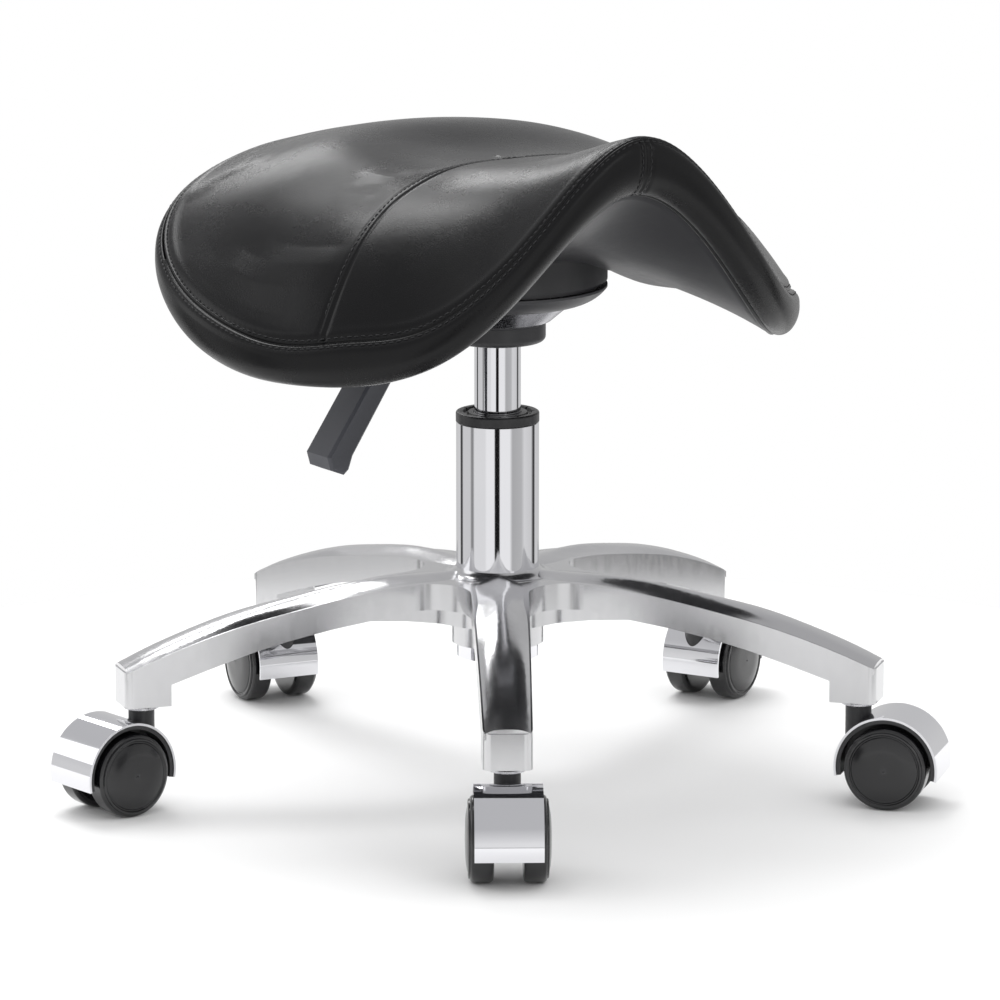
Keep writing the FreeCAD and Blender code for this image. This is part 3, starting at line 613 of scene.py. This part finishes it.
# --------------------------------------------------- underside and its piping
HOLE_RADIUS = 64.5      # of the opening round the mechanism
LIP = 6.0               # how far the cover turns up into that opening
UNDER_ROWS, JOINING_ROWS = 60, 3
UNDER_SAG, SAG_END = 1.2, 1 / 1.4
PIPING_RADIUS, PIPING_DROP = 1.5, 0.6


def underside(lower):
    """Rings from the lower seam in to the opening round the mechanism."""
    angle = np.arctan2(lower[:, 1], lower[:, 0])
    hole = HOLE_RADIUS * np.stack([np.cos(angle), np.sin(angle)], -1)
    rings = []
    for i in range(UNDER_ROWS + 1):
        f = i / UNDER_ROWS
        p = lower[:, :2] * (1 - f) + hole * f
        z = under_height(p[:, 0], p[:, 1])
        z += (lower[:, 2] - z) * max(0.0, 1 - i / JOINING_ROWS)
        z -= UNDER_SAG * math.sin(math.pi * min(1.0, f / SAG_END))
        rings.append(np.concatenate([p, z[:, None]], 1))
    rings.append(rings[-1] + np.array([0, 0, LIP]))
    return np.array(rings)


lower = cover_points[-1]
under = underside(lower)
shell = new_object("seat_underside", under.reshape(-1, 3) * MM,
                   ring_faces(len(under), T_FINE), UNDER)
face_outward(shell)
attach(shell, "seat")
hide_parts("seat_under_cover")
pipe = closed_tube("seat_piping", (lower - np.array([0, 0, PIPING_DROP])) * MM,
                   PIPING_RADIUS * MM, PIPING)
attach(pipe, "seat")

# ------------------------------------------------------------------ stitches
STITCH_LENGTH, STITCH_RADIUS, STITCH_SIDES = 3.1, 0.42, 6
STITCH_PROUD, STITCH_SAG = 0.18, 0.55
# place along a stitch, as a fraction of its length, and the thread's fullness
STITCH_RINGS = [(-0.5, 0.25), (-0.42, 0.8), (-0.2, 1.0), (0.2, 1.0), (0.42, 0.8), (0.5, 0.25)]


def stations(points, normals, closed):
    """Even places along a line, a stitch apart, with direction and normal."""
    P = np.concatenate([points, points[:1]]) if closed else points
    N = np.concatenate([normals, normals[:1]]) if closed else normals
    run = np.concatenate([[0], np.cumsum(np.linalg.norm(np.diff(P, axis=0), axis=1))])
    count = max(2, int(round(run[-1] / PITCH)))
    at = (np.arange(count) + 0.5) * run[-1] / count

    def read(values, places):
        return np.stack([np.interp(places, run, values[:, k]) for k in range(3)], 1)

    d = read(P, at + 0.4) - read(P, at - 0.4)
    d /= np.linalg.norm(d, axis=1, keepdims=True)
    n = read(N, at)
    n -= d * np.sum(n * d, axis=1, keepdims=True)
    n /= np.linalg.norm(n, axis=1, keepdims=True)
    return read(P, at), d, n


def stitch_rings(place, along, up, tilt, size):
    """Points of one stitch: short rings on an arched centre line, in metres."""
    side = np.cross(along, up)
    along = along * math.cos(tilt) + side * math.sin(tilt)
    side = np.cross(along, up)
    points = []
    for f, fullness in STITCH_RINGS:
        sag = -STITCH_SAG * (2 * f) ** 2
        centre = place + along * f * STITCH_LENGTH * size
        centre = centre + up * (STITCH_PROUD + sag * STITCH_RADIUS)
        for j in range(STITCH_SIDES):
            g = 2 * math.pi * j / STITCH_SIDES
            round_it = math.cos(g) * side + math.sin(g) * up
            points.append((centre + STITCH_RADIUS * fullness * round_it) * MM)
    return points


def stitches(name, lines):
    """One object with a stitch at every station of each line."""
    verts, faces = [], []
    count = len(STITCH_RINGS)
    for points, normals, closed in lines:
        place, along, up = stations(points, normals, closed)
        tilt = RNG.normal(0, 0.06, len(place))
        size = RNG.uniform(0.92, 1.06, len(place))
        for one in zip(place, along, up, tilt, size):
            first = len(verts)
            last = first + (count - 1) * STITCH_SIDES
            verts += stitch_rings(*one)
            faces += ring_faces(count, STITCH_SIDES, first)
            faces.append(tuple(first + j for j in range(STITCH_SIDES)))
            faces.append(tuple(last + j for j in reversed(range(STITCH_SIDES))))
    return new_object(name, verts, faces, THREAD)


def beside_rim(gap, on_rows):
    """The line on the cover at a gap from the rim, on the side of those rows."""
    rows = np.where(on_rows)[0]
    out_p, out_n = [], []
    for j in range(0, T_FINE, 2):
        order = np.argsort(rim_gap[rows, j])
        gaps = rim_gap[rows, j][order]
        k = min(np.searchsorted(gaps, gap), len(order) - 1)
        k0 = max(k - 1, 0)
        f = (gap - gaps[k0]) / max(gaps[k] - gaps[k0], 1e-6)
        f = min(max(f, 0), 1)
        a, b = rows[order[k0]], rows[order[k]]
        out_p.append(cover_points[a, j] * (1 - f) + cover_points[b, j] * f)
        out_n.append(normal[a, j])
    return np.array(out_p), np.array(out_n)


def on_top(plan):
    """Places and normals on the top, above points of the plan."""
    points = cover_points[:len(top)].reshape(-1, 3)
    normals = normal[:len(top)].reshape(-1, 3)
    out_p, out_n = [], []
    for q in plan:
        d = (points[:, 0] - q[0]) ** 2 + (points[:, 1] - q[1]) ** 2
        near = np.argpartition(d, 4)[:4]
        w = 1 / (d[near] + 1e-3)
        w /= w.sum()
        out_p.append((points[near] * w[:, None]).sum(0))
        out_n.append((normals[near] * w[:, None]).sum(0))
    return np.array(out_p), np.array(out_n)


def behind_cross_seam():
    """The row of stitches that follows the cross seam on its back side."""
    seam = seam_line(160)
    slope = np.gradient(seam, axis=0)
    side = np.stack([-slope[:, 1], slope[:, 0]], -1)
    side /= np.linalg.norm(side, axis=1, keepdims=True)
    inside = np.abs(seam[:, 0]) < 160
    return on_top((seam + side * CROSS_ROW)[inside])


def beside_pommel_seam(offset):
    """A row of stitches down the band at the pommel, at an offset in x."""
    rows = np.arange(len(top) + 2, len(cover) - 3)
    away = np.abs(cover_points[rows, :, 0] - offset)
    away[:, T_FINE // 4:3 * T_FINE // 4] = np.inf
    nearest = np.argmin(away, axis=1)
    return cover_points[rows, nearest], normal[rows, nearest]


top_rows = np.arange(len(cover)) < len(top)
rim_stitch = stitches("seat_rim_stitching", [
    (*beside_rim(RIM_ROW, top_rows), True),
    (*beside_rim(RIM_ROW, ~top_rows), True),
])
cross_stitch = stitches("seat_cross_stitching", [(*behind_cross_seam(), False)])
front_stitch = stitches("pommel_seam_stitching", [
    (*beside_pommel_seam(-POMMEL_ROW), False),
    (*beside_pommel_seam(POMMEL_ROW), False),
])
for obj in (rim_stitch, cross_stitch, front_stitch):
    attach(obj, "seat")

# -------------------------------------------------------------------- stage
FLOOR_RADIUS, FLOOR_SIDES = 0.56, 180
floor_mat, nodes, links, bsdf = tree("pale_floor")
cloud = noise(nodes, links, object_coord(nodes), scale=2.0)
links.new(mix(nodes, links, cloud, (0.86, 0.86, 0.86), (0.88, 0.88, 0.88)),
          bsdf.inputs["Base Color"])
bsdf.inputs["Roughness"].default_value = 0.75
turns = np.linspace(0, FULL_TURN, FLOOR_SIDES, endpoint=False)
disc = [(FLOOR_RADIUS * math.cos(q), FLOOR_RADIUS * math.sin(q), 0) for q in turns]
floor = new_object("floor", disc, [tuple(range(FLOOR_SIDES))], floor_mat)

# the camera's heading, and places given as right of it, away from it and up
LOOK = math.radians(-33.617)
RIGHT = Vector((math.cos(LOOK), math.sin(LOOK), 0))
AWAY = Vector((-math.sin(LOOK), math.cos(LOOK), 0))
UP = Vector((0, 0, 1))
CENTRE = Vector((0, 0, 0.25))


def softbox(name, right, away, up, width, length, power):
    """A rectangular light, in metres and watts, that faces the stool."""
    data = bpy.data.lights.new(name, "AREA")
    data.shape = "RECTANGLE"
    data.size = width
    data.size_y = length
    data.energy = power
    obj = bpy.data.objects.new(name, data)
    bpy.context.scene.collection.objects.link(obj)
    place = RIGHT * right + AWAY * away + UP * up
    obj.location = place
    obj.rotation_euler = (CENTRE - place).to_track_quat("-Z", "Y").to_euler()


softbox("overhead", -0.4, 0.9, 2.2, width=1.1, length=1.1, power=22)
softbox("rear_box", -0.7, 2.2, 1.6, width=0.8, length=0.45, power=6)
softbox("left_box", -2.1, 0.2, 1.2, width=1.2, length=1.6, power=6)
softbox("right_box", 1.6, -1.8, 1.3, width=0.5, length=1.2, power=3)

# -------------------------------------------------------------------- world
# Greys of the panels round the room, by degrees from straight behind the camera
# to the right, and of the same panels near the floor, with dark gaps between.
PANELS = [(-180, 0.62), (-128, 0.75), (-82, 0.78), (-36, 0.86), (-9, 0.92), (34, 0.92),
          (42, 0.66), (70, 0.66), (108, 0.74), (180, 0.62)]
LOW_PANELS = [(-180, 0.50), (-168, 0.62), (-128, 0.75), (-124, 0.06), (-116, 0.06),
              (-112, 0.72), (-82, 0.72), (-78, 0.30), (-72, 0.30), (-68, 0.86),
              (-36, 0.86), (-30, 1.0), (-9, 1.0), (-7, 0.01), (5, 0.01), (7, 1.0),
              (34, 1.0), (42, 0.50), (70, 0.56), (80, 0.80), (108, 0.72), (116, 0.06),
              (124, 0.06), (128, 0.72), (168, 0.62), (180, 0.50)]
CEILING_GREY = (0.58, 0.58, 0.59)
# from straight down (0) to straight up (1): where the lower panels end and
# where the ceiling begins
LOW_END, HIGH_START = (0.44, 0.47), (0.52, 0.78)
# what the floor and other matt surfaces gather, and what the camera sees
SEEN_GREYS = [("Is Diffuse Ray", 1.15), ("Is Camera Ray", 1.0)]

world = bpy.data.worlds.new("studio")
bpy.context.scene.world = world
world.use_nodes = True
wn, wl = world.node_tree.nodes, world.node_tree.links


def world_math(operation, *values):
    """A maths node on numbers and other nodes' outputs."""
    n = wn.new("ShaderNodeMath")
    n.operation = operation
    for socket, value in zip(n.inputs, values):
        if isinstance(value, (int, float)):
            socket.default_value = value
        else:
            wl.new(value, socket)
    return n.outputs[0]


def grey_ramp(value, stops):
    """A ramp of greys through (place, grey) stops in rising order."""
    n = wn.new("ShaderNodeValToRGB")
    wl.new(value, n.inputs["Fac"])
    elements = n.color_ramp.elements
    while len(elements) > 1:
        elements.remove(elements[-1])
    elements[0].position = stops[0][0]
    for k, (place, grey) in enumerate(stops):
        stop = elements.new(place) if k else elements[0]
        stop.color = (grey, grey, grey, 1)
    return n.outputs["Color"]


def panel_ramp(around, panels):
    return grey_ramp(around, [((degrees + 180) / 360, grey) for degrees, grey in panels])


def rising(value, start, end):
    """0 up to the start, 1 from the end on."""
    return grey_ramp(value, [(0.0, 0.0), (start, 0.0), (end, 1.0)])


facing = wn.new("ShaderNodeMapping")
facing.inputs["Rotation"].default_value = (0, 0, -LOOK)
wl.new(wn.new("ShaderNodeTexCoord").outputs["Generated"], facing.inputs["Vector"])
split = wn.new("ShaderNodeSeparateXYZ")
wl.new(facing.outputs["Vector"], split.inputs["Vector"])
toward = world_math("MULTIPLY", split.outputs["Y"], -1)
angle = world_math("ARCTAN2", split.outputs["X"], toward)
around = world_math("MULTIPLY_ADD", angle, 0.5 / math.pi, 0.5)
rise = world_math("MULTIPLY_ADD", split.outputs["Z"], 0.5, 0.5)
panels = mix(wn, wl, rising(rise, *LOW_END), panel_ramp(around, LOW_PANELS),
             panel_ramp(around, PANELS))
seen = mix(wn, wl, rising(rise, *HIGH_START), panels, CEILING_GREY)
rays = wn.new("ShaderNodeLightPath")
for ray, grey in SEEN_GREYS:
    seen = mix(wn, wl, rays.outputs[ray], seen, (grey, grey, grey))
wl.new(seen, wn["Background"].inputs["Color"])

# ------------------------------------------------------------------- camera
CAMERA_BACK, CAMERA_HEIGHT = 3.6, 0.9306
TILT = math.radians(11.93)
YAW = -0.000406
cam_data = bpy.data.cameras.new("camera")
cam_data.lens = 219.33
cam_data.sensor_width = 36.0
cam_data.clip_start = 0.1
cam_data.clip_end = 50.0
camera = bpy.data.objects.new("camera", cam_data)
bpy.context.scene.collection.objects.link(camera)
bpy.context.scene.camera = camera
camera.location = UP * CAMERA_HEIGHT - AWAY * CAMERA_BACK
level = AWAY * math.cos(YAW) - RIGHT * math.sin(YAW)
ahead = level * math.cos(TILT) - UP * math.sin(TILT)
camera.rotation_mode = "QUATERNION"
camera.rotation_quaternion = ahead.to_track_quat("-Z", "Y")
bpy.context.scene.view_settings.view_transform = "Standard"
